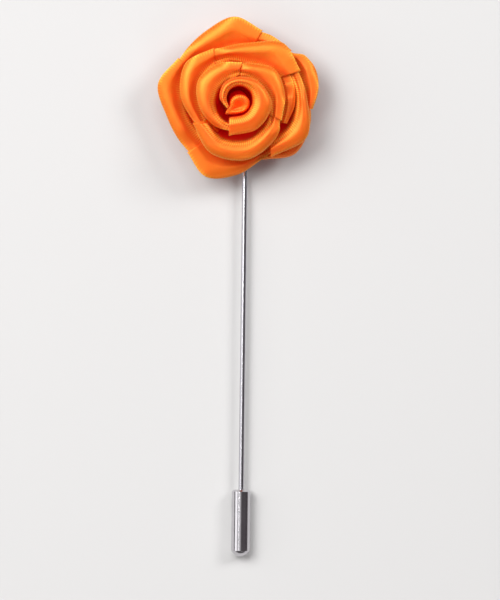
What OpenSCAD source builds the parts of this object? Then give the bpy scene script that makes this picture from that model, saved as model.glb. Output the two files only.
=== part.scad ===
// A lapel pin: a rose folded from satin ribbon on a straight steel stick pin with a push-on end cap.
// The pin lies on its back. +Z points out of the rose's face, +Y runs along the needle towards the rose,
// and the origin is under the middle of the whole length, on the surface that the pin lies on.

/* [Whole pin] */
// Length over all, from the rose's top edge to the end of the cap
pin_len = 97; // [90:1:110]

/* [Rose] */
// Nominal width across the rose
rose_d = 29.4; // [28.4:0.2:32]
// Height of the innermost fold above the surface that the rose lies on
rose_h = 14; // [13.6:0.1:15]
// Thickness of a fold, two layers of ribbon with the air held between them
petal_t = 1; // [0.8:0.05:1]
// Free height where the end of one fold lies over the start of the next
lap_gap = 0.6; // [0.55:0.05:0.7]
// Depth of the rolled outer edge of a fold
flap_h = 1.1; // [1:0.05:1.2]
// How much lower the bud in the middle stands than the innermost fold
bud_drop = 0.9; // [0.7:0.1:1.2]

/* [Foot] */
// Diameter of the wound and glued foot that the folds grow from
foot_d = 17.6; // [17.2:0.1:18]
// Height of the foot
foot_h = 3.6; // [3.4:0.1:3.8]
// Gap left for glue between the foot, the folds and the pad
glue_gap = 0.2; // [0.1:0.05:0.3]

/* [Stick pin] */
// Diameter of the needle
needle_d = 1; // [0.9:0.05:1.1]
// Sideways place of the needle from the middle of the rose
needle_x = 1.4; // [0:0.1:2]
// Diameter of the thicker neck behind the rose
neck_d = 1.8; // [1.6:0.1:2]
// How far the neck reaches out past the edge of the foot
neck_reach = 1.5; // [1:0.1:2]
// Length of the needle's tapered point
point_len = 8.3; // [7:0.1:9]
// Diameter of the needle's very tip
tip_d = 0.16; // [0.1:0.02:0.24]
// Diameter of the glue pad soldered to the neck
pad_d = 8.8; // [8:0.1:9]
// Thickness of the glue pad
pad_t = 0.6; // [0.5:0.05:0.7]

/* [End cap] */
// Diameter of the end cap
cap_d = 3.4; // [3.3:0.05:3.6]
// Length of the end cap
cap_len = 12; // [11:0.5:14]
// Height of the cap's domed end
dome_h = 1; // [0.8:0.1:1.2]
// Chamfer round the cap's mouth
chamfer = 0.35; // [0.2:0.05:0.5]
// Radial clearance of the needle in the cap
cap_clear = 0.05; // [0.02:0.01:0.08]

/* [Hidden] */
$fn = 96;

rose_r = rose_d / 2;
foot_r = foot_d / 2;
cap_r = cap_d / 2;
needle_r = needle_d / 2;
// The outline's highest point lies this many rose radii above the middle of the rose.
top_share = 1.002;
rose_y = pin_len / 2 - top_share * rose_r;
cap_end_y = -pin_len / 2;
cap_mouth_y = cap_end_y + cap_len;
// The point starts just outside the cap's mouth.
point_start = 0.3;
root_z = foot_h + glue_gap;
lap_step = petal_t + lap_gap;
// Each ring of folds lies lower than the ring inside it by this share of the height above the foot.
ring_share = 0.235;
ring_drop = ring_share * (rose_h - root_z);
// The bore reaches this far past the needle's tip.
tip_gap = 1.5;
bore_len = point_len - point_start + tip_gap;

// One row for each fold, from the innermost outwards. Angles are clock degrees from +Y.
// start: where the fold's hidden start lies
// sweep: degrees from its start to its free end
// skew: degrees by which the outer edge ends ahead of the inner edge
// fall: ring drops below the innermost fold
// dip: lap steps by which the start ducks under the fold before it
// hang: further depth of the outer edge along the middle of the fold, in flap depths
// root: radius of its foot line, as a share of the foot's radius
// inner, outer: radii of the two edges at even steps of the sweep, as shares of the rose's radius
PETALS = [
    [236, 328, -11, 0.00, 0.0, 0.9, 0.26, [0.12, 0.135, 0.145, 0.16, 0.175, 0.185, 0.21, 0.26],
                                          [0.19, 0.235, 0.26, 0.275, 0.34, 0.43, 0.44, 0.47]],
    [184, 177,   5, 1.00, 0.0, 0.9, 0.44, [0.36, 0.31, 0.295, 0.265, 0.26, 0.285],
                                          [0.41, 0.44, 0.485, 0.54, 0.50, 0.45]],
    [346, 130,   0, 1.00, 1.0, 0.9, 0.44, [0.33, 0.27, 0.29, 0.37, 0.43], [0.38, 0.47, 0.58, 0.58, 0.60]],
    [101, 130,  10, 1.00, 1.0, 0.9, 0.61, [0.49, 0.45, 0.51, 0.515, 0.48], [0.52, 0.67, 0.755, 0.745, 0.63]],
    [214, 111,   9, 2.00, 0.0, 0.9, 0.63, [0.50, 0.45, 0.46, 0.49, 0.50], [0.56, 0.61, 0.71, 0.78, 0.69]],
    [318, 104,   3, 2.00, 1.1, 0.9, 0.63, [0.56, 0.47, 0.43, 0.47, 0.56], [0.61, 0.65, 0.71, 0.88, 0.86]],
    [ 54,  64,  -2, 2.25, 0.8, 0.5, 0.60, [0.60, 0.58, 0.58, 0.62], [0.66, 0.705, 0.665, 0.665]],
    [ 54,  89,   7, 2.00, 0.9, 0.9, 0.78, [0.79, 0.755, 0.755, 0.68], [0.825, 0.84, 0.965, 0.82]],
    [138,  79,   6, 3.00, 0.0, 1.8, 0.84, [0.66, 0.68, 0.69, 0.66, 0.62], [0.74, 0.80, 0.93, 1.03, 0.90]],
    [208,  95,   1, 3.00, 1.0, 1.8, 0.84, [0.66, 0.62, 0.64, 0.68, 0.70], [0.81, 0.85, 0.90, 0.985, 0.89]],
    [290,  84,   5, 3.00, 1.0, 1.8, 0.84, [0.72, 0.68, 0.60, 0.60, 0.62], [0.81, 0.88, 0.93, 1.015, 0.895]],
    [  2,  45,   0, 3.00, 1.0, 1.8, 0.84, [0.66, 0.68, 0.74], [0.81, 0.87, 0.90]],
    [ 37,  60,   0, 3.00, 1.0, 1.8, 0.90, [0.76, 0.78, 0.79, 0.82], [0.83, 0.98, 1.01, 0.92]],
    [ 86,  71,   0, 3.80, 0.0, 0.6, 1.04, [0.80, 0.86, 0.82, 0.72], [0.88, 0.94, 0.965, 0.80]]
];

// The section across a fold, from its inner lip to its outer edge.
// across: share of the way from the inner edge to the outer edge
// rise: height from the crest, in flap depths
// out, down: how far the underside lies along the section and below it, in thicknesses
SECTION = [
    [0.00, -1.05,  1.00, 0.25],
    [0.03, -0.72,  0.95, 0.55],
    [0.09, -0.55,  0.85, 0.75],
    [0.34, -0.50,  0.35, 0.90],
    [0.62, -0.16,  0.00, 1.00],
    [0.76, -0.03, -0.05, 1.00],
    [0.88,  0.00, -0.20, 0.95],
    [0.97, -0.32, -0.35, 0.65],
    [1.00, -0.74, -0.38, 0.20],
    [0.99, -1.00, -0.34, 0.10]
];
// A narrow fold is no thicker than this share of its width.
slim_share = 0.42;
// The wall under a fold's free end fades out over these degrees, and its start dips over these.
tongue_deg = 20;
fade_deg = 16;
tuck_deg = 14;
rise_deg = 26;
// The stub of wall that is left under the lip of a free end, as a share of the whole wall
stub_share = 0.04;
// The wall stands steep under the lip: half way down it has come in by this share.
belly_share = 0.35;
// Degrees of a fold's sweep from one section to the next
step_deg = 8;

// Radius of the bud's outline at even clock steps, as shares of the rose's radius, about its own middle
BUD_OUTLINE = [0.145, 0.148, 0.145, 0.128, 0.112, 0.112, 0.112, 0.14, 0.19, 0.115, 0.11, 0.125];
BUD_MIDDLE = [0.012, -0.092];
// spread: from the round root (0) to the outline (1); scale: of the outline; height: share of the bud's height
BUD_SECTIONS = [
    [0.00, 1.00, 0.00],
    [0.45, 1.00, 0.40],
    [0.86, 1.00, 0.78],
    [1.00, 1.00, 0.90],
    [1.00, 0.93, 0.98],
    [1.00, 0.75, 1.00],
    [1.00, 0.45, 0.965],
    [1.00, 0.20, 0.93]
];
bud_root_share = 0.08;
bud_count = 24;

// A value that eases from 0 to 1
function ease(x) = let (c = min(1, max(0, x))) c * c * (3 - 2 * c);

// The cubic curve that passes through four points in turn, between the middle two
function blend(a, b, c, d, f) =
    0.5 * (2 * b + (c - a) * f + (2 * a - 5 * b + 4 * c - d) * f * f + (3 * b - a - 3 * c + d) * f * f * f);

// A point at share t of an open curve through the points p
function along(p, t) =
    let (
        n = len(p) - 1,
        x = t * n,
        i = min(floor(x), n - 1),
        a = i > 0 ? p[i - 1] : 2 * p[0] - p[1],
        d = i + 2 <= n ? p[i + 2] : 2 * p[n] - p[n - 1]
    )
    blend(a, p[i], p[i + 1], d, x - i);

// A point at share t of a closed curve through the points p
function around(p, t) =
    let (n = len(p), x = t * n, i = floor(x))
    blend(p[(i + n - 1) % n], p[i % n], p[(i + 1) % n], p[(i + 2) % n], x - i);

// A clock angle and a radius as a point in the plane
function clock(deg, r) = [r * sin(deg), r * cos(deg)];

// An edge of a fold: the points at even steps of the sweep
function edge(shares, start, sweep) =
    [for (i = [0 : len(shares) - 1]) clock(start + sweep * i / (len(shares) - 1), shares[i] * rose_r)];

// The section of a fold at share u of its sweep, as [top points, underside points]
function fold_section(row, u) =
    let (
        start = row[0], sweep = row[1], skew = row[2],
        inner = along(edge(row[7], start, sweep), u),
        outer = along(edge(row[8], start, sweep + skew), u),
        width = norm(outer - inner),
        t = min(petal_t, slim_share * width),
        out = (outer - inner) / width,
        radial = inner / norm(inner),
        risen = ease((u * sweep - tuck_deg) / rise_deg),
        rooted = ease(((1 - u) * sweep - tongue_deg) / fade_deg),
        crest = rose_h - row[3] * ring_drop - row[4] * lap_step * (1 - risen),
        hang = row[5] * risen * rooted * flap_h,
        last = row == PETALS[len(PETALS) - 1],
        wall = last ? 1 : max(stub_share, rooted),
        lip_z = crest + SECTION[0][1] * flap_h,
        lean = SECTION[0][3] * t,
        root = inner + (radial * row[6] * foot_r - inner) * wall,
        root_h = lip_z + min(0, root_z + lean - lip_z) * wall,
        side = radial * wall + out * (1 - wall),
        mid = inner + (root - inner) * belly_share,
        mid_h = (lip_z + root_h) / 2,
        edge_i = len(SECTION) - 1,
        top = concat(
            [[root.x, root.y, root_h], [mid.x, mid.y, mid_h]],
            [for (i = [0 : edge_i])
                let (s = SECTION[i], p = inner + (outer - inner) * s[0])
                [p.x, p.y, crest + s[1] * flap_h - (i == edge_i ? hang : 0)]]
        ),
        shift = concat(
            [for (i = [0, 1]) [side.x * t, side.y * t, -lean]],
            [for (s = SECTION) [out.x * s[2] * t, out.y * s[2] * t, -s[3] * t]]
        )
    )
    [top, top + shift];

// One fold as a closed wall: the top sheet, the underside sheet and the four rims between them
module fold(row) {
    n = max(6, floor(row[1] / step_deg));
    w = len(SECTION) + 2;
    last = w - 1;
    under = (n + 1) * w;
    sections = [for (i = [0 : n]) fold_section(row, i / n)];
    sheet = [for (side = [0, 1], i = [0 : n]) each sections[i][side]];
    top_faces = [for (i = [0 : n - 1], j = [0 : last - 1])
        each split(i * w + j, i * w + j + 1, (i + 1) * w + j + 1, (i + 1) * w + j)];
    under_faces = [for (i = [0 : n - 1], j = [0 : last - 1])
        each split(under + i * w + j, under + (i + 1) * w + j, under + (i + 1) * w + j + 1, under + i * w + j + 1)];
    long_rims = [for (i = [0 : n - 1])
        each concat(
            split(i * w, (i + 1) * w, under + (i + 1) * w, under + i * w),
            split(i * w + last, under + i * w + last, under + (i + 1) * w + last, (i + 1) * w + last)
        )];
    end_rims = [for (j = [0 : last - 1])
        each concat(
            split(under + j, under + j + 1, j + 1, j),
            split(n * w + j + 1, under + n * w + j + 1, under + n * w + j, n * w + j)
        )];
    color("darkorange")
    translate([0, rose_y, 0])
    polyhedron(points = sheet, faces = concat(top_faces, under_faces, long_rims, end_rims));
}

// A four-sided patch as two triangles
function split(a, b, c, d) = [[a, b, c], [a, c, d]];

// The rolled start of the ribbon, a bud with a dished top and a tail on one side
module rose_bud() {
    outline = [for (i = [0 : len(BUD_OUTLINE) - 1]) clock(360 * i / len(BUD_OUTLINE), BUD_OUTLINE[i] * rose_r)];
    middle = BUD_MIDDLE * rose_r;
    bud_h = rose_h - bud_drop - root_z;
    rings = [for (s = BUD_SECTIONS, i = [0 : bud_count - 1])
        let (
            root = clock(360 * i / bud_count, bud_root_share * rose_r),
            full = around(outline, i / bud_count) * s[1] + middle,
            p = root + (full - root) * s[0]
        )
        [p.x, p.y, root_z + s[2] * bud_h]];
    last = (len(BUD_SECTIONS) - 1) * bud_count;
    sides = [for (k = [0 : len(BUD_SECTIONS) - 2], i = [0 : bud_count - 1])
        let (j = (i + 1) % bud_count)
        each split(k * bud_count + i, k * bud_count + j, (k + 1) * bud_count + j, (k + 1) * bud_count + i)];
    ends = [[for (i = [bud_count - 1 : -1 : 0]) i], [for (i = [0 : bud_count - 1]) last + i]];
    color("orange")
    translate([0, rose_y, 0])
    polyhedron(points = rings, faces = concat(sides, ends));
}

// The wound lower edge of the ribbon: a flat disc with a seat for the pad and a notch for the neck
module rolled_foot() {
    seat_h = cap_r + neck_d / 2 + glue_gap;
    notch_w = neck_d + 2 * glue_gap;
    color("orangered")
    translate([0, rose_y, 0])
    difference() {
        cylinder(h = foot_h, r = foot_r);
        translate([needle_x, 0, -1])
        cylinder(h = seat_h + 1, r = pad_d / 2 + glue_gap);
        translate([needle_x - notch_w / 2, -foot_r - 1, -1])
        cube([notch_w, foot_r + 1, seat_h + 1]);
    }
}

// The steel pin in one soldered piece: glue pad, and neck, needle and point turned as one
module stick_pin() {
    neck_len = foot_r + neck_reach;
    point_at = rose_y - cap_mouth_y - point_start;
    profile = [
        [0, 0],
        [neck_d / 2, 0],
        [neck_d / 2, neck_len],
        [needle_r, neck_len],
        [needle_r, point_at],
        [tip_d / 2, point_at + point_len],
        [0, point_at + point_len]
    ];
    color("silver")
    translate([needle_x, rose_y, cap_r])
    union() {
        translate([0, 0, neck_d / 2 - pad_t])
        cylinder(h = pad_t, r = pad_d / 2);
        rotate([90, 0, 0])
        rotate_extrude()
        polygon(profile);
    }
}

// The push-on cap: a plain tube with a domed closed end, chamfered at its mouth
module end_cap() {
    dome_r = (cap_r * cap_r + dome_h * dome_h) / (2 * dome_h);
    color("gainsboro")
    translate([needle_x, cap_mouth_y, cap_r])
    rotate([90, 0, 0])
    difference() {
        union() {
            cylinder(h = chamfer, r1 = cap_r - chamfer, r2 = cap_r);
            translate([0, 0, chamfer])
            cylinder(h = cap_len - dome_h - chamfer, r = cap_r);
            intersection() {
                translate([0, 0, cap_len - dome_h])
                cylinder(h = dome_h, r = cap_r);
                translate([0, 0, cap_len - dome_r])
                sphere(r = dome_r);
            }
        }
        translate([0, 0, -1])
        cylinder(h = bore_len + 1, r = needle_r + cap_clear);
    }
}

fold(PETALS[0]);  // petal_01
fold(PETALS[1]);  // petal_02
fold(PETALS[2]);  // petal_03
fold(PETALS[3]);  // petal_04
fold(PETALS[4]);  // petal_05
fold(PETALS[5]);  // petal_06
fold(PETALS[6]);  // petal_07
fold(PETALS[7]);  // petal_08
fold(PETALS[8]);  // petal_09
fold(PETALS[9]);  // petal_10
fold(PETALS[10]);  // petal_11
fold(PETALS[11]);  // petal_12
fold(PETALS[12]);  // petal_13
fold(PETALS[13]);  // petal_14
rose_bud();
rolled_foot();
stick_pin();
end_cap();
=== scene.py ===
from collections import namedtuple

import bpy
import numpy as np
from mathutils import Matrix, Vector


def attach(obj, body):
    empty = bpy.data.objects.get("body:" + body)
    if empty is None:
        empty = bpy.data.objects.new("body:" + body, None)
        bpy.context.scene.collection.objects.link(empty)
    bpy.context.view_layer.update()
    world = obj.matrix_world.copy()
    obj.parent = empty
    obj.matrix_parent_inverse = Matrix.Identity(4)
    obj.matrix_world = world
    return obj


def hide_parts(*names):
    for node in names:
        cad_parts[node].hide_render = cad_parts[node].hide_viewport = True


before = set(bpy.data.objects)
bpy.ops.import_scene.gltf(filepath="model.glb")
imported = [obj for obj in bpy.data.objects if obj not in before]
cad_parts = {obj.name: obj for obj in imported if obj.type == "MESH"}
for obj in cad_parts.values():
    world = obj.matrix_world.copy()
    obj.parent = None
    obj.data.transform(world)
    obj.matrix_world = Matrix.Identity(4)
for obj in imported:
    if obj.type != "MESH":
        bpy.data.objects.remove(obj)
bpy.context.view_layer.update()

# The fourteen folds of the rose. Each is a turn of satin ribbon, laid double and wrapped round the one
# before it. Its lower edge is glued into the foot, its upper part is rolled down outwards, and its start
# ducks under the free end of the fold before it.
MM = 0.001
ROSE_R = 14.7
ROSE_H = 14.0
ROSE_Y = 33.7706
FOOT_R = 8.8
ROOT_Z = 4.2  # height of the walls' foot lines
PLY_Z = 3.8  # height that the outer plies go down to
RING_DROP = 2.397
LAP = 0.38
FOLD_T = 0.20

# start, sweep: clock degrees from +Y where the fold starts, and on from there to its free end
# skew: degrees by which the outer edge runs further than the inner one
# fall: ring drops from the top of the rose down to the fold's crest
# dip: laps by which the start ducks. Where this is 1, it carries on under the end of the fold before it
# lapped: degrees of its free end that lie on the start of the next fold
# hang: how much of the way down to the foot the outer ply goes
# root: radius of the foot line, as a share of the foot's radius
# inside, outside: mm by which the lip and the outer roll lie below the crest, at the start and at the end
# dish: mm by which the band sags between them, or swells where it is negative
# inner, outer: radii of the two edges at even steps, as shares of the rose's radius
Fold = namedtuple("Fold", "start sweep skew fall dip lapped hang root inside outside dish inner outer")
FOLDS = [
    Fold(227, 337, -11, 0.00, 0.0, 0, 0.30, 0.26, (0.60, 0.35), (0.0, 0.35), -0.10,
         [0.150, 0.138, 0.144, 0.158, 0.173, 0.184, 0.209, 0.26],
         [0.180, 0.226, 0.256, 0.273, 0.335, 0.423, 0.44, 0.47]),
    Fold(184, 177, 5, 1.00, 0.0, 15, 0.85, 0.34, (0.25, 0.50), (0.1, 0.0), -0.10,
         [0.36, 0.305, 0.277, 0.25, 0.25, 0.283], [0.41, 0.44, 0.485, 0.54, 0.50, 0.45]),
    Fold(346, 130, 0, 1.00, 1.0, 15, 0.85, 0.44, (0.60, 0.80), (0.0, 0.3), -0.15,
         [0.285, 0.27, 0.29, 0.37, 0.43], [0.45, 0.47, 0.58, 0.58, 0.60]),
    Fold(101, 130, 10, 1.00, 1.0, 0, 0.85, 0.52, (0.70, 0.60), (0.3, 0.2), -0.10,
         [0.455, 0.45, 0.51, 0.515, 0.48], [0.58, 0.67, 0.755, 0.745, 0.63]),
    Fold(214, 111, 9, 2.00, 0.0, 11, 0.85, 0.63, (0.60, 0.90), (0.0, 0.0), -0.05,
         [0.50, 0.45, 0.46, 0.49, 0.50], [0.58, 0.61, 0.71, 0.78, 0.69]),
    Fold(318, 104, 3, 2.00, 1.0, 8, 0.85, 0.63, (0.85, 0.80), (0.0, 0.1), -0.05,
         [0.51, 0.47, 0.43, 0.47, 0.56], [0.70, 0.66, 0.71, 0.885, 0.84]),
    Fold(54, 64, -2, 1.95, 3.3, 0, 0.30, 0.66, (0.30, 0.30), (0.0, 0.0), -0.10,
         [0.55, 0.52, 0.545, 0.60], [0.705, 0.71, 0.70, 0.67]),
    Fold(54, 89, 7, 2.00, 1.7, 0, 0.85, 0.76, (0.70, 0.60), (0.1, 0.3), -0.10,
         [0.73, 0.705, 0.705, 0.66], [0.83, 0.84, 0.965, 0.82]),
    Fold(138, 79, 6, 3.00, 0.0, 12, 0.78, 0.84, (0.60, 0.70), (0.1, 0.1), -0.05,
         [0.66, 0.68, 0.69, 0.66, 0.62], [0.77, 0.80, 0.93, 1.03, 0.90]),
    Fold(208, 95, 1, 3.00, 1.0, 14, 1.00, 0.84, (0.70, 0.90), (0.0, 0.0), -0.05,
         [0.65, 0.62, 0.64, 0.68, 0.70], [0.88, 0.88, 0.90, 1.00, 0.89]),
    Fold(290, 84, 5, 3.00, 1.0, 15, 1.00, 0.84, (0.90, 0.90), (0.0, 0.1), -0.05,
         [0.70, 0.68, 0.60, 0.60, 0.62], [0.87, 0.88, 0.93, 1.015, 0.895]),
    Fold(2, 45, 0, 3.00, 1.0, 10, 1.00, 0.84, (0.80, 0.60), (0.1, 0.1), -0.05,
         [0.64, 0.68, 0.74], [0.885, 0.885, 0.89]),
    Fold(37, 60, 0, 3.00, 1.0, 11, 1.00, 0.86, (0.60, 0.60), (0.0, 0.1), -0.05,
         [0.74, 0.76, 0.78, 0.79, 0.82], [0.86, 0.96, 1.022, 0.995, 0.925]),
    Fold(86, 71, 0, 3.60, 0.0, 0, 0.35, 0.98, (0.40, 0.40), (0.1, 0.1), -0.05,
         [0.80, 0.86, 0.82, 0.72], [0.88, 0.94, 0.965, 0.80]),
]

LIP = (0.75, 1.10)  # reach and drop of the round over the inner lip
ROLL = (2.50, 1.15)  # reach and drop of the rolled outer edge
LIP_MOST, ROLL_MOST = 0.3, 0.45  # the most that each may reach, as shares of the fold's width
BAND = np.array([0.25, 0.5, 0.75])  # where the band between them has its points
FLAT_END = 0.14  # share of both drops that is left where a fold lies under or on another
OPEN_END = 0.60  # and at a free end that lies on nothing
TUCK, CLIMB = 16.0, 20.0  # degrees that the start stays down, and over which it climbs
LEVEL, FADE, OPEN_FADE = 3.0, 16.0, 14.0  # degrees that the end stays flat, and over which it flattens
SHORT, CLOSE = 2.0, 4.0  # degrees by which the wall stops short of the lap, and over which it runs out
STUB = 0.01  # share of the wall that is left there
LEAST_WALL = 0.1  # mm of wall that is always left under the lip's round
BELLY = 0.35  # how far out towards its foot line a wall is at half its height
SPREAD = 9.0  # degrees over which the edges spread from those of the fold before
CORNER = 0.02  # share by which the start's outer edge keeps inside that fold's edge
STEP = 0.13  # mm from one section to the next


def eased(x):
    """Rises from 0 to 1 with level ends: c * c * (3 - 2c), where c is x held between 0 and 1."""
    c = np.clip(x, 0, 1)
    return c * c * (3 - 2 * c)


def along(points, share):
    """The cubic through evenly spaced points at each share: at f of the way from b to c, with a before and
    d after, half of 2b + (c - a)f + (2a - 5b + 4c - d)f^2 + (3b - a - 3c + d)f^3."""
    points = np.asarray(points, float)
    x = np.clip(share, 0, 1) * (len(points) - 1)
    i = np.minimum(x.astype(int), len(points) - 2)
    f = (x - i).reshape(-1, 1)
    grown = np.vstack([2 * points[0] - points[1], points, 2 * points[-1] - points[-2]])
    a, b, c, d = (grown[i + k] for k in range(4))
    return 0.5 * (2 * b + (c - a) * f + (2 * a - 5 * b + 4 * c - d) * f**2 + (3 * b - a - 3 * c + d) * f**3)


def clock(degrees, radius):
    """A clock angle from +Y and a radius as x = radius * sin, y = radius * cos."""
    turn = np.radians(degrees)
    return np.stack([np.sin(turn), np.cos(turn)], -1) * np.asarray(radius, float)[..., None]


def spans(points, axis):
    """Lengths run up along one axis of a grid of points, starting from 0."""
    gaps = np.linalg.norm(np.diff(points, axis=axis), axis=2)
    return np.concatenate([np.zeros_like(np.take(gaps, [0], axis)), np.cumsum(gaps, axis)], axis)


def cut_corners(points, rounds):
    """Each round puts two points on every stretch of a section, at 1/4 and 3/4 of it, and keeps its ends."""
    for _ in range(rounds):
        a, b = points[:, :-1], points[:, 1:]
        pairs = np.stack([0.75 * a + 0.25 * b, 0.25 * a + 0.75 * b], 2)
        cut = pairs.reshape(len(points), -1, points.shape[-1])
        points = np.concatenate([points[:, :1], cut[:, 1:-1], points[:, -1:]], 1)
    return points


def run_of(fold):
    """Shares of a fold's run, about STEP apart, and the length of the run in mm at its mean radius."""
    middle = np.mean(fold.inner + fold.outer) * ROSE_R
    length = np.radians(fold.sweep) * middle
    return np.linspace(0, 1, int(length / STEP))[:, None], length


def sweep_of(fold, side):
    """Degrees that the inner or the outer edge of a fold runs over."""
    return fold.sweep + (fold.skew if side == "outer" else 0)


def edge_at(fold, side, degrees):
    """Points of one edge of a fold at these clock degrees, on the cubic through its evenly spaced knots."""
    sweep, shares = sweep_of(fold, side), np.array(getattr(fold, side))
    knots = clock(fold.start + sweep * np.linspace(0, 1, len(shares)), shares * ROSE_R)
    return along(knots, (degrees - fold.start) / sweep)


def fold_edge(fold, before, side, turned):
    """One edge of a fold at these clock degrees. A fold that carries on under the end of the one before it
    has that one's edge there, and its radius goes over to its own with eased(degrees since / SPREAD)."""
    edge = edge_at(fold, side, turned)
    if before:
        since = (turned - before.start) % 360
        lead = edge_at(before, side, since + before.start)
        own_r = np.linalg.norm(edge, axis=1)[:, None]
        lead_r = np.linalg.norm(lead, axis=1)[:, None] * (1 - CORNER * (side == "outer"))
        spread = eased((since - sweep_of(before, side)) / SPREAD)[:, None]
        edge = edge * (1 + (lead_r / own_r - 1) * (1 - spread))
    return edge


def fold_drops(fold, before, u, risen):
    """How far the lip and the roll lie below the crest and how far the band sags, at each share u of the
    run: first + (last - first) * u. Under the end of the fold before it they are what they are there."""
    drops = []
    for name in ("inside", "outside", "dish"):
        first, last = np.ravel(getattr(fold, name))[[0, -1]]
        drop = first + (last - first) * u
        if before:
            drop = drop + (np.ravel(getattr(before, name))[-1] - drop) * (1 - risen)
        drops.append(drop)
    return drops


def quarter_round(reach, drop, degrees):
    """A quarter round that goes reach * (1 - sin) outwards and drop * (1 - cos) down at each angle."""
    turn = np.radians(degrees)
    return reach * (1 - np.sin(turn)), drop * (1 - np.cos(turn))


GAP = 0.55  # mm that an outer ply keeps from a neighbour's lip and wall
PAST_END, BESIDE = 2.0, 0.3  # degrees that this holds past its ends, and mm that each further one adds
LOWER = 0.5  # ring drops from which a fold counts as a lower one
ABREAST = 0.8  # mm inside of the rim where a lip still counts as outside of it
CLEAR = 0.06  # share of the foot's radius by which the ply stays out from its own wall
TUCK_IN = 0.3  # mm by which it goes in under its own rim, at least
TUCK_DROP = (0.45, 0.6, 0.8)  # mm down there, and more for each mm inwards, and the most
LEAST_HANG = 0.05  # share of its way that is always left
NO_LIMIT = 1e3


def room_inside(fold, degrees, rim):
    """Radii in mm that the outer ply keeps inside of at each clock degree: GAP less than the lip, and GAP
    less than the foot line, of the folds that are lower or lie outside of its rim. Beside such a fold the
    radii grow by BESIDE with each degree."""
    lips = [np.full(len(degrees), NO_LIMIT)]
    roots = [np.full(len(degrees), max(1.0, fold.root + CLEAR) * FOOT_R)]
    for other in FOLDS:
        middle = other.start + other.sweep / 2
        off = (degrees - middle + 180) % 360 - 180
        beside = BESIDE * np.maximum(0, np.abs(off) - other.sweep / 2 - PAST_END)
        lip = np.linalg.norm(edge_at(other, "inner", middle + off), axis=1)
        lower = other.fall > fold.fall + LOWER
        outside = (lower | (lip > rim - ABREAST)) & (other is not fold)
        lips.append(np.where(outside, lip - GAP + beside, NO_LIMIT))
        roots.append(np.where(outside, other.root * FOOT_R - GAP + beside, NO_LIMIT))
    return np.min(lips, axis=0)[:, None], np.min(roots, axis=0)[:, None]


def outer_ply(fold, rim, degrees, closed):
    """Four points of each section's outer ply. It goes from the rim by three stops: tucked in under it,
    half way down, and by the foot. hang says how much of this way it goes, and closed lets it run out."""
    rim_z = rim[:, 2:]
    rim_r = np.linalg.norm(rim[:, :2], axis=1)[:, None]
    lip_room, root_room = room_inside(fold, degrees, rim_r[:, 0])
    tuck_r = np.minimum(rim_r - TUCK_IN, lip_room)
    drop, slope, most = TUCK_DROP
    tuck_z = rim_z - np.minimum(drop + slope * (rim_r - tuck_r), most)
    root_r = np.minimum(root_room, tuck_r)
    stops_r = np.hstack([rim_r, tuck_r, tuck_r + BELLY * (root_r - tuck_r), root_r])
    stops_z = np.hstack([rim_z, tuck_z, (tuck_z + PLY_Z) / 2, np.minimum(PLY_Z, tuck_z)])
    reached = 3 * np.maximum(LEAST_HANG, fold.hang * closed) * [0.25, 0.5, 0.75, 1.0]
    stop = np.minimum(reached.astype(int), 2)
    part = reached - stop
    ply_r, ply_z = (
        np.take_along_axis(way, stop, 1) * (1 - part) + np.take_along_axis(way, stop + 1, 1) * part
        for way in (stops_r, stops_z)
    )
    return np.dstack([rim[:, None, :2] / rim_r[..., None] * ply_r[..., None], ply_z])


def upper_layer(fold, before):
    """The upper layer of a fold in mm, one row for each section, and each section's width and direction.
    A section's wall goes from the foot line to the lip, and a quarter round leads over the lip to the band.
    The band goes straight to the roll, less dish * sin(pi * share). The roll is a quarter round too, and
    the outer ply goes back inwards from its rim. Where the fold lies under or on another it is flatter."""
    u, _ = run_of(fold)
    risen = eased((u * fold.sweep - TUCK) / CLIMB)
    to_end = (1 - u) * fold.sweep - fold.lapped
    rooted = eased((to_end - LEVEL) / (FADE if fold.lapped else OPEN_FADE))
    closed = eased((to_end - SHORT) / CLOSE)
    end_share = FLAT_END if fold.lapped else OPEN_END
    full = (FLAT_END + (1 - FLAT_END) * risen) * (end_share + (1 - end_share) * rooted)

    inner, outer = (
        fold_edge(fold, before, side, fold.start + sweep_of(fold, side) * u[:, 0])
        for side in ("inner", "outer")
    )
    width = np.linalg.norm(outer - inner, axis=1)[:, None]
    out = (outer - inner) / width
    crest = ROSE_H - fold.fall * RING_DROP - fold.dip * LAP * (1 - risen)
    inside, outside, dish = fold_drops(fold, before, u, risen)

    lip_r = np.minimum(LIP[0], LIP_MOST * width)
    lip_h = np.minimum(LIP[1] * full, crest - inside - ROOT_Z - LEAST_WALL)
    lip_out, lip_down = quarter_round(lip_r, lip_h, [90, 60, 30, 0])
    roll_r = np.minimum(ROLL[0], ROLL_MOST * width)
    roll_out, roll_down = quarter_round(roll_r, ROLL[1] * full, [0, 25, 50, 70, 90])
    reach = np.hstack([lip_out, lip_r + (width - roll_r - lip_r) * BAND, width - roll_out])
    sag = dish * np.sin(np.pi * BAND)
    rise = np.hstack([-inside - lip_down, -inside + (inside - outside) * BAND - sag, -outside - roll_down])
    face = np.dstack([inner[:, None] + out[:, None] * reach[..., None], crest + rise])

    wall = np.maximum(STUB, closed)
    lip_z = face[:, :1, 2]
    radial = inner / np.linalg.norm(inner, axis=1)[:, None]
    root = inner + (radial * fold.root * FOOT_R - inner) * wall
    root_z = lip_z + np.minimum(0, ROOT_Z - lip_z) * wall
    foot_line = np.hstack([root, root_z])[:, None]
    half_way = np.hstack([inner + (root - inner) * BELLY, (lip_z + root_z) / 2])[:, None]
    ply = outer_ply(fold, face[:, -1], fold.start + sweep_of(fold, "outer") * u[:, 0], closed)
    return cut_corners(np.concatenate([foot_line, half_way, face, ply], 1), rounds=2), width, out


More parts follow.
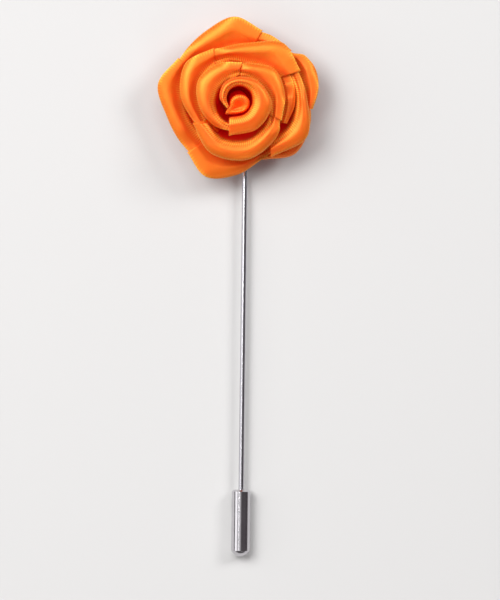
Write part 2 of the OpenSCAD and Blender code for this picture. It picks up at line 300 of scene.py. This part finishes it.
SOFTER = 14  # rounds of smoothing that the normals get
TIGHTEST = 0.7  # the most thickness, as a share of the radius of the bend that it lies in
BARELY_BENT = 0.001  # the least bend that counts, as 1 / its radius in mm
STEEPEST, EASINGS = 0.03, 4  # mm of thickness gained from point to point, and for how many points
SLIM = 0.24  # the most thickness, as a share of the fold's width
END_ROUND = 0.28  # mm over which the free edges round off
FULLEST, EDGE_LEFT = 0.98, 0.02  # share of this round that is used, and mm of it left at the rim


def room_below(upper, normal):
    """The thickness that each point has room for: FOLD_T, and along both axes of the grid TIGHTEST of
    step squared / (bend * step) at most, where bend is the change of the normal over a step."""
    room = np.full(upper.shape[:2], FOLD_T)
    for axis in (0, 1):
        step, bend = np.diff(upper, axis=axis), np.diff(normal, axis=axis)
        limit = TIGHTEST / np.maximum(BARELY_BENT, (bend * step).sum(2) / (step**2).sum(2))
        pads = [(0, 0), (0, 0)]
        pads[axis] = (1, 1)
        limit = np.pad(limit, pads, mode="edge")
        last = limit.shape[axis] - 1
        for beside in (range(1, last + 1), range(last)):
            room = np.minimum(room, np.take(limit, beside, axis))
    for _ in range(EASINGS):
        wide = np.pad(room, 1, mode="edge")
        beside = [wide[:-2, 1:-1], wide[2:, 1:-1], wide[1:-1, :-2], wide[1:-1, 2:]]
        room = np.minimum(room, np.minimum.reduce(beside) + STEEPEST)
    return room


def under_layer(fold, upper, width, out):
    """The under layer of a fold: the upper one less the thickness along each section's smoothed normal.
    Both layers meet in a round at the free edges, thickness * sqrt(1 - (1 - distance / END_ROUND)^2)."""
    along_it = np.gradient(upper, axis=1)
    ahead, climb = (along_it[..., :2] * out[:, None]).sum(2), along_it[..., 2]
    normal = np.dstack([-climb[..., None] * out[:, None], ahead]) / np.hypot(ahead, climb)[..., None]
    for _ in range(SOFTER):
        beside = np.concatenate([normal[:, :1], normal, normal[:, -1:]], 1)
        normal = 0.25 * beside[:, :-2] + 0.5 * normal + 0.25 * beside[:, 2:]
    u, length = run_of(fold)
    crossways = spans(upper, 1)
    from_rim = crossways[:, -1:] - crossways
    nearest = np.minimum(np.minimum(u, 1 - u) * length, from_rim + EDGE_LEFT)
    plump = np.sqrt(1 - (1 - nearest / END_ROUND).clip(0, FULLEST) ** 2)
    thick = np.minimum(room_below(upper, normal), SLIM * width) * plump
    return upper - normal * thick[..., None]


LIP_RIDGE = 13  # the grid's column along the lip, and the one along the outer edge
RIM_RIDGE = 48


def ribbon_piece(name, points, faces, maps):
    """A smooth piece from points in mm round the middle of the rose. Each UV map takes two lengths in mm
    for every point, and where they are given for one layer alone they repeat on the other."""
    mesh = bpy.data.meshes.new(name)
    mesh.from_pydata((points.reshape(-1, 3) + [0, ROSE_Y, 0]) * MM, [], faces)
    corners = np.zeros(len(mesh.loops), int)
    mesh.loops.foreach_get("vertex_index", corners)
    for layer, pair in maps.items():
        values = np.stack([np.resize(value, len(mesh.vertices))[corners] for value in pair], -1)
        mesh.uv_layers.new(name=layer).data.foreach_set("uv", values.ravel())
    mesh.polygons.foreach_set("use_smooth", np.ones(len(mesh.polygons), bool))
    mesh.validate()
    piece = bpy.data.objects.new(name, mesh)
    bpy.context.scene.collection.objects.link(piece)
    return piece


def shell(name, upper, under):
    """A closed shell from two grids of points: both layers and the four rims between them, wound so that
    every face looks outwards. The UV map Ribbon holds mm along the ribbon and mm across it, and the UV
    map Edges holds mm from the lip and mm from the outer edge."""
    n, m = upper.shape[:2]
    top = np.arange(n * m).reshape(n, m)
    low = top + n * m
    sheets = [
        np.stack([top[:-1, :-1], top[:-1, 1:], top[1:, 1:], top[1:, :-1]], -1),
        np.stack([low[:-1, :-1], low[1:, :-1], low[1:, 1:], low[:-1, 1:]], -1),
        np.stack([top[:-1, 0], top[1:, 0], low[1:, 0], low[:-1, 0]], -1),
        np.stack([top[:-1, -1], low[:-1, -1], low[1:, -1], top[1:, -1]], -1),
        np.stack([top[0, :-1], low[0, :-1], low[0, 1:], top[0, 1:]], -1),
        np.stack([top[-1, :-1], top[-1, 1:], low[-1, 1:], low[-1, :-1]], -1),
    ]
    faces = np.concatenate([sheet.reshape(-1, 4) for sheet in sheets])[:, ::-1]
    lengthways = spans(upper[:, LIP_RIDGE:RIM_RIDGE], 0).mean(1, keepdims=True)
    crossways = spans(upper, 1)
    from_lip = crossways - crossways[:, [LIP_RIDGE]]
    from_edge = crossways - crossways[:, [RIM_RIDGE]]
    maps = {"Ribbon": (np.broadcast_to(lengthways, (n, m)), from_lip), "Edges": (from_lip, from_edge)}
    return ribbon_piece(name, np.concatenate([upper, under]), faces, maps)


class Wire:
    """One socket of a material's tree. Arithmetic on it adds Math nodes, and node() adds any other node."""

    def __init__(self, tree, socket):
        self.tree = tree
        self.socket = socket

    @staticmethod
    def node(tree, kind, settings=None, inputs=None, output=0):
        made = tree.nodes.new(kind)
        for key, value in (settings or {}).items():
            setattr(made, key, value)
        for key, value in (inputs or {}).items():
            if isinstance(value, Wire):
                tree.links.new(value.socket, made.inputs[key])
            else:
                made.inputs[key].default_value = value
        return Wire(tree, made.outputs[output])

    def maths(self, operation, *values):
        return Wire.node(self.tree, "ShaderNodeMath", {"operation": operation}, dict(enumerate(values)))

    def __add__(self, other):
        return self.maths("ADD", self, other)

    def __radd__(self, other):
        return self.maths("ADD", other, self)

    def __sub__(self, other):
        return self.maths("SUBTRACT", self, other)

    def __rsub__(self, other):
        return self.maths("SUBTRACT", other, self)

    def __mul__(self, other):
        return self.maths("MULTIPLY", self, other)

    def __rmul__(self, other):
        return self.maths("MULTIPLY", other, self)

    def __abs__(self):
        return self.maths("ABSOLUTE", self)

    def wave(self):
        return self.maths("COSINE", self)

    def or_more(self, other):
        return self.maths("MAXIMUM", self, other)

    def clamped(self):
        self.socket.node.use_clamp = True
        return self

    def into(self, shader, name):
        self.tree.links.new(self.socket, shader.inputs[name])


def finish_of(name, **constants):
    """A material whose Principled shader has these constants on its own sockets."""
    material = bpy.data.materials.new(name)
    material.use_nodes = True
    shader = material.node_tree.nodes["Principled BSDF"]
    for key, value in constants.items():
        shader.inputs[key.replace("_", " ")].default_value = value
    return material, material.node_tree, shader


def noise(tree, where, scale, detail):
    """Cloudy noise from 0 to 1 over a place, with about scale patches for each unit of it."""
    return Wire.node(tree, "ShaderNodeTexNoise", None, {"Vector": where, "Scale": scale, "Detail": detail})


def stretched(tree, where, scale):
    """A place times a scale of its own along each axis, so that noise on it is drawn out."""
    return Wire.node(tree, "ShaderNodeMapping", None, {"Vector": where, "Scale": scale})


def blended(tree, share, low, high):
    """The colour low where the share is 0, and high where it is 1. A Mix node's colours are its sockets
    6 and 7, and its blended colour is its output 2."""
    return Wire.node(tree, "ShaderNodeMix", {"data_type": "RGBA"}, {"Factor": share, 6: low, 7: high}, 2)


def raised(tree, shader, height, strength, depth):
    """Bump of this depth in metres, into the shader's normal."""
    inputs = {"Strength": strength, "Distance": depth, "Height": height}
    Wire.node(tree, "ShaderNodeBump", None, inputs).into(shader, "Normal")


def near(length, level, fall):
    """Full beside a line on the ribbon, and less by fall with each mm from it: level - fall * distance."""
    return (level - abs(length) * fall).clamped()


SATIN = (0.95, 0.136, 0.009, 1)
# Painted highlight: a lighter yellow orange for the weft ribs by the lip and the outer edge, where light
# catches them
SATIN_HIGHLIGHT = (1.0, 0.40, 0.045, 1)
# Painted shade: a deeper red orange for the part of each band by its lip, under the edge of the fold inside
# it
SATIN_SHADED = (0.88, 0.056, 0.008, 1)
# Painted shade: a deep red for the walls that go down between the folds
SATIN_SUNK_SHADE = (0.80, 0.008, 0.006, 1)
PAINTED_GLOW = (0.05, 0.0, 0.0005, 1)  # painted glow: emission for light that comes through the ribbon down between the folds
NO_GLOW = (0, 0, 0, 1)
RIB_PITCH = 0.43
RIB_DRIFT = 2.2  # radians by which the ribs waver
THREADS = (0.5, 14.0, 1.0)  # noise for each mm along and across

satin, tree, shader = finish_of(
    "orange_satin", Metallic=0.28, IOR=1.72, Specular_IOR_Level=1.0, Specular_Tint=(1.0, 0.60, 0.13, 1),
    Subsurface_Weight=0.5, Subsurface_Radius=(1.0, 0.1, 0.02), Subsurface_Scale=0.0016,
    Emission_Strength=1.0,
)
ribbon = Wire.node(tree, "ShaderNodeUVMap", {"uv_map": "Ribbon"})
edges = Wire.node(tree, "ShaderNodeUVMap", {"uv_map": "Edges"})
length, from_lip, from_edge = (
    Wire.node(tree, "ShaderNodeSeparateXYZ", None, {"Vector": lengths}, axis)
    for lengths, axis in ((ribbon, "X"), (edges, "X"), (edges, "Y"))
)
mottled = noise(tree, ribbon, scale=0.9, detail=3.0)
drift = noise(tree, ribbon, scale=0.35, detail=2.0)
threads = noise(tree, stretched(tree, ribbon, THREADS), scale=1.0, detail=2.0)
ribs = 0.5 + 0.5 * (length * (2 * np.pi / RIB_PITCH) + mottled * RIB_DRIFT).wave()
# Where the ribs show by the lip and the outer edge. It sets their real bump and roughness, and their painted
# highlight.
rib_relief_and_highlight = (near(from_lip, 1.5, 1.1).or_more(near(from_edge, 0.7, 0.9)) * (0.35 + mottled)).clamped()
# Painted highlight along the outer edge, where light catches its rounding.
selvage_highlight = near(from_edge, 1.4, 5.0)
# Painted shade: from about 0.9 mm past the lip, down the wall into the gaps between the folds.
sunk_shade = (from_lip * -0.8 - 0.72).clamped()

# Painted shade: darker towards the lip, where the fold inside shades the band, with random drift in the
# tone.
tone = blended(tree, (from_lip * 0.28 + drift * 0.8 - 0.3).clamped(), SATIN_SHADED, SATIN)
tone = blended(tree, sunk_shade, tone, SATIN_SUNK_SHADE)
# Painted highlight: the ribs by the lip and the outer edge, and a line along the outer edge, turn lighter.
tone = blended(tree, (ribs * rib_relief_and_highlight + selvage_highlight * 0.3).clamped(), tone, SATIN_HIGHLIGHT)
tone.into(shader, "Base Color")
(0.38 + threads * 0.10 + rib_relief_and_highlight * 0.08).into(shader, "Roughness")
# Painted glow: a faint red emission in the sunk parts, for light through the ribbon.
blended(tree, sunk_shade, NO_GLOW, PAINTED_GLOW).into(shader, "Emission Color")
height = ribs * rib_relief_and_highlight + threads * 0.15 + mottled * 0.6
raised(tree, shader, height, strength=0.45, depth=0.00006)

for number, fold in enumerate(FOLDS, 1):
    before = FOLDS[number - 2] if fold.dip == 1 else None
    upper, width, out = upper_layer(fold, before)
    piece = shell(f"ribbon_fold_{number:02d}", upper, under_layer(fold, upper, width, out))
    piece.data.materials.append(satin)
    deep = spans(upper, 1)[:, -1].mean() * MM
    run = spans(upper, 0)[-1].mean() * MM
    cells = np.cross(upper[1:, :-1] - upper[:-1, :-1], upper[:-1, 1:] - upper[:-1, :-1])
    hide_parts(f"petal_{number:02d}")
    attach(piece, "pin")

# The bud in the middle. The ribbon's very start is rolled up tight and glued, and its end stands out as a
# small tail at the lower left. The roll's top is dished, and its far lip stands highest.
BUD_OUTLINE = [0.1415, 0.147, 0.148, 0.130, 0.108, 0.092, 0.090, 0.115, 0.190, 0.117, 0.122, 0.136]
BUD_MIDDLE = np.array([0.012, -0.092]) * ROSE_R
BUD_ROOT = 0.112 * ROSE_R
BUD_BELOW = 0.5  # mm by which its top lies below the rose's
BUD_H = ROSE_H - BUD_BELOW - ROOT_Z
BUD_COUNT = 120  # points round each ring
BUD_RING = 40  # the ring that the lengths round the bud are taken from
NO_EDGE = 3.0  # mm from the outer edge, which doesn't show on the bud
# spread from the round root to the outline, scale of the outline, height as a share of the bud's height
BUD_PROFILE = np.array([
    [0.00, 1.00, 0.00], [0.10, 1.00, 0.30], [0.15, 1.00, 0.46], [0.60, 1.00, 0.58], [0.92, 1.00, 0.72],
    [1.00, 1.00, 0.84], [1.00, 0.99, 0.90],
    [1.00, 0.96, 0.945], [1.00, 0.90, 0.978], [1.00, 0.80, 0.996], [1.00, 0.68, 0.998], [1.00, 0.54, 0.975],
    [1.00, 0.40, 0.935], [1.00, 0.24, 0.91], [1.00, 0.10, 0.90], [1.00, 0.001, 0.90],
])
# The top is tipped: it falls by up to TIP mm towards TIP_WAY, its lower right
TIP = 1.5
TIP_FROM, TIP_OVER = 0.55, 0.4  # shares of the height from which, and over which, it grows
TIP_HALF = 0.85  # and half of its way across, as a share of TIP_REACH
TIP_WAY = np.array([0.45, -0.89])
TIP_REACH = 0.13 * ROSE_R


def bud_grid():
    """Rings of the bud: root + (outline * scale + middle - root) * spread, at height * share, less what
    the tip takes off, which grows over the top of the bud's height and across it."""
    share = np.arange(BUD_COUNT) / BUD_COUNT
    knots, over = len(BUD_OUTLINE), 2
    hours = np.arange(-over, knots + over + 1)
    outline = clock(360 * hours / knots, np.take(BUD_OUTLINE, hours, mode="wrap") * ROSE_R)
    full = along(outline, (share * knots + over) / (knots + 2 * over))
    root = clock(360 * share, np.full(BUD_COUNT, BUD_ROOT))
    profile = cut_corners(BUD_PROFILE[None], rounds=3)[0]
    spread, scale, rise = (column[:, None, None] for column in profile.T)
    rise = rise[..., 0]
    plan = root + (full * scale + BUD_MIDDLE - root) * spread
    slope = (full[None] * scale) @ TIP_WAY / TIP_REACH
    top = eased((rise - TIP_FROM) / TIP_OVER)
    tipped = top * TIP * eased((slope + TIP_HALF) / (2 * TIP_HALF))
    return np.dstack([plan, ROOT_Z + rise * BUD_H - tipped])


def closed_tube(rings, turned_round):
    """Faces of a tube that is carried through rings of points, with an end face on its first and its last
    ring. Where turned_round is true, the faces are wound the other way."""
    count, around = rings.shape[:2]
    index = np.arange(count * around).reshape(count, around)
    ahead = np.roll(index, -1, 1)
    quads = np.stack([index[:-1], ahead[:-1], ahead[1:], index[1:]], -1).reshape(-1, 4)
    faces = quads.tolist() + [index[0][::-1].tolist(), index[-1].tolist()]
    return [face[::-1] for face in faces] if turned_round else faces


rings = bud_grid()
run_up = spans(rings, 0)
from_crest = run_up - run_up[[rings[:, 0, 2].argmax()]]
round_it = spans(np.concatenate([rings, rings[:, :1]], 1), 1)[[BUD_RING], :-1]
bud_maps = {"Ribbon": (round_it, from_crest), "Edges": (from_crest, NO_EDGE)}
bud = ribbon_piece("ribbon_bud", rings, closed_tube(rings, True), bud_maps)
bud.data.materials.append(satin)
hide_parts("rose_bud")
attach(bud, "pin")

# The foot. The ribbon's lower edge is wound round and round and glued, so the back shows the edges of its
# turns. The pin's pad is glued into a seat in it, and the pin's neck leaves through a notch.
FOOT_H = 3.6
TURN_PITCH = 0.5
TURN_T = 0.48
FIRST_TURN = 0.6
STRIP_COUNT = 3700
PLEATS, PLEAT_H = 23, 0.08  # pleats in a turn, and half the depth of the outermost ones
WAVER, WAVES = 0.05, (3.1, 0.37)  # height and rates at which the upper edge wavers
HEADROOM = 0.06  # what keeps it below the foot's height
SEAT_X, SEAT_R, SEAT_H = 1.4, 4.6, 2.8
NOTCH_W = 2.2
BLEND = 9  # points over which the lower edge steps up into the seat
# the rounded strip's outline: shares of its thickness sideways, and of its height
STRIP_SIDEWAYS = np.array([-0.5, -0.5, -0.5, -0.32, 0.0, 0.32, 0.5, 0.5, 0.5, 0.32, 0.0, -0.32])
STRIP_UP = np.array([0.06, 0.5, 0.94, 0.985, 1.0, 0.985, 0.94, 0.5, 0.06, 0.015, 0.0, 0.015])


def wound_strip():
    """A rounded strip carried along the spiral r = pitch * turns, less PLEAT_H * (1 - cos(PLEATS * angle)).
    Its lower edge is lifted to the seat's height where the point lies in the seat's circle or in the notch
    towards -Y, and its upper edge wavers by WAVER."""
    turns = np.linspace(FIRST_TURN, (FOOT_R - TURN_T / 2) / TURN_PITCH, STRIP_COUNT)
    angle = 2 * np.pi * turns
    pleats = PLEAT_H * (1 - np.cos(PLEATS * angle)) * turns / turns[-1]
    radius = np.minimum(TURN_PITCH * turns, FOOT_R - TURN_T / 2) - pleats
    radial = np.stack([np.cos(angle), np.sin(angle)], -1)
    centre = radial * radius[:, None]
    in_seat = np.hypot(centre[:, 0] - SEAT_X, centre[:, 1]) < SEAT_R + TURN_T / 2
    in_notch = (np.abs(centre[:, 0] - SEAT_X) < NOTCH_W / 2 + TURN_T / 2) & (centre[:, 1] < 0)
    lifted = in_seat | in_notch
    base = np.pad(np.where(lifted, SEAT_H, 0.0), BLEND // 2, mode="edge")
    base = np.convolve(base, np.ones(BLEND) / BLEND, "valid").clip(0, SEAT_H)
    base = np.where(lifted, SEAT_H, base)[:, None]
    wavering = WAVER * np.sin(angle * WAVES[0]) * np.sin(angle * WAVES[1] + 1)
    z = base + (FOOT_H - HEADROOM + wavering[:, None] - base) * STRIP_UP
    return np.dstack([centre[:, None] + radial[:, None] * (STRIP_SIDEWAYS * TURN_T)[:, None], z])


loops = wound_strip()
foot = ribbon_piece("wound_foot", loops, closed_tube(loops, False), {})

# Painted shade: both reds are deeper than the folds' satin, for the shade down in the gaps where the foot
# shows. The patches between the two are random tone.
FOOT_SHADED_DARKER = (0.72, 0.04, 0.004, 1)
FOOT_SHADED_LIGHTER = (0.86, 0.07, 0.008, 1)


def on_object(tree):
    """A place on the piece, in its own coordinates in metres."""
    return Wire.node(tree, "ShaderNodeTexCoord", output="Object")


ribbon_edges, tree, shader = finish_of(
    "ribbon_edges", Specular_IOR_Level=0.3, Specular_Tint=(1.0, 0.3, 0.1, 1),
)
where = on_object(tree)
grain = noise(tree, where, scale=1800.0, detail=4.0)
patches = noise(tree, where, scale=260.0, detail=3.0)
blended(tree, (patches * 1.8 - 0.4).clamped(), FOOT_SHADED_DARKER, FOOT_SHADED_LIGHTER).into(shader, "Base Color")
(0.45 + grain * 0.35).into(shader, "Roughness")
raised(tree, shader, grain, strength=0.3, depth=0.00003)
foot.data.materials.append(ribbon_edges)
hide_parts("rolled_foot")
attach(foot, "pin")

# The stick pin. A drawn steel wire, bright but not mirror smooth, ground to a point. Its pad and its neck
# are soldered on, and the drawing leaves fine lines along the wire.
STEEL = (0.60, 0.59, 0.63, 1)
DRAWN = (9000.0, 120.0, 9000.0)


def dress(node, finish):
    """Gives a node of the construction model its finish."""
    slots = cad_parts[node].data.materials
    slots.clear()
    slots.append(finish)


steel, tree, shader = finish_of("drawn_steel", Base_Color=STEEL, Metallic=1.0)
lines = noise(tree, stretched(tree, on_object(tree), DRAWN), scale=1.0, detail=3.0)
(0.12 + lines * 0.16).into(shader, "Roughness")
raised(tree, shader, lines, strength=0.15, depth=0.00001)
dress("stick_pin", steel)

# The end cap. A deep drawn brass tube, plated and polished, with faint handling marks. It is pushed on
# over the point.
PLATE = (0.60, 0.585, 0.61, 1)

plate, tree, shader = finish_of("polished_plate", Base_Color=PLATE, Metallic=1.0)
where = on_object(tree)
marks = noise(tree, where, scale=1500.0, detail=5.0)
cloud = noise(tree, where, scale=220.0, detail=2.0)
(0.12 + marks * 0.06 + cloud * 0.08).into(shader, "Roughness")
raised(tree, shader, marks, strength=0.05, depth=0.00001)
dress("end_cap", plate)

# The floor and the lights. The pin lies on plain pale paper, under a large soft light from the upper left
# and five weaker ones round it, with a faint pink light from all sides.
FLOOR_HALF = 2.0  # metres
PAPER = (0.55, 0.545, 0.54, 1)
ALL_ROUND = (1.0, 0.85, 0.92, 1)
ALL_ROUND_STRENGTH = 0.07
# place in mm, width and height in mm, watts
LAMPS = {
    "key": ((-475, 368, 860), 600, 600, 10.6),
    "left_wall": ((-420, 40, 240), 500, 240, 0.60),
    "overhead": ((-150, -20, 380), 500, 300, 0.22),
    "right_fill": ((560, 380, 560), 300, 300, 3.6),
    "top_fill": ((60, 560, 900), 400, 400, 2.6),
    "low_fill": ((120, -420, 300), 200, 200, 0.3),
}
AIM = np.array([0, 20, 5])

floor_mesh = bpy.data.meshes.new("floor")
floor_corners = [(x * FLOOR_HALF, y * FLOOR_HALF, 0) for x, y in ((-1, -1), (1, -1), (1, 1), (-1, 1))]
floor_mesh.from_pydata(floor_corners, [], [(0, 1, 2, 3)])
floor = bpy.data.objects.new("floor", floor_mesh)
bpy.context.scene.collection.objects.link(floor)
paper, tree, shader = finish_of("pale_paper", Base_Color=PAPER, Roughness=0.75)
floor.data.materials.append(paper)

for name, (place, wide, high, watts) in LAMPS.items():
    lamp = bpy.data.lights.new(name, "AREA")
    lamp.shape = "RECTANGLE"
    lamp.size, lamp.size_y, lamp.energy = wide * MM, high * MM, watts
    holder = bpy.data.objects.new(name, lamp)
    holder.location = np.array(place) * MM
    holder.rotation_euler = Vector((AIM - place).tolist()).to_track_quat("-Z", "Y").to_euler()
    bpy.context.scene.collection.objects.link(holder)

world = bpy.data.worlds.new("studio")
world.use_nodes = True
background = world.node_tree.nodes["Background"]
background.inputs["Color"].default_value = ALL_ROUND
background.inputs["Strength"].default_value = ALL_ROUND_STRENGTH
bpy.context.scene.world = world
bpy.context.scene.view_settings.view_transform = "Standard"

# The camera looks straight down from far off, turned a little so that the needle leans as it does in the
# photograph.
FRAME_HIGH = 108.0
SENSOR = 36.0
LENS = 600.0
LOOKS_AT = (2.58, -2.29, 4.0)
LEAN = np.radians(0.67)
FARTHEST = 10.0  # metres that it sees

lens = bpy.data.cameras.new("camera")
lens.lens = LENS
lens.clip_end = FARTHEST
camera = bpy.data.objects.new("camera", lens)
camera.location = (np.array(LOOKS_AT) + [0, 0, FRAME_HIGH * LENS / SENSOR]) * MM
camera.rotation_euler = (0, 0, LEAN)
bpy.context.scene.collection.objects.link(camera)
bpy.context.scene.camera = camera
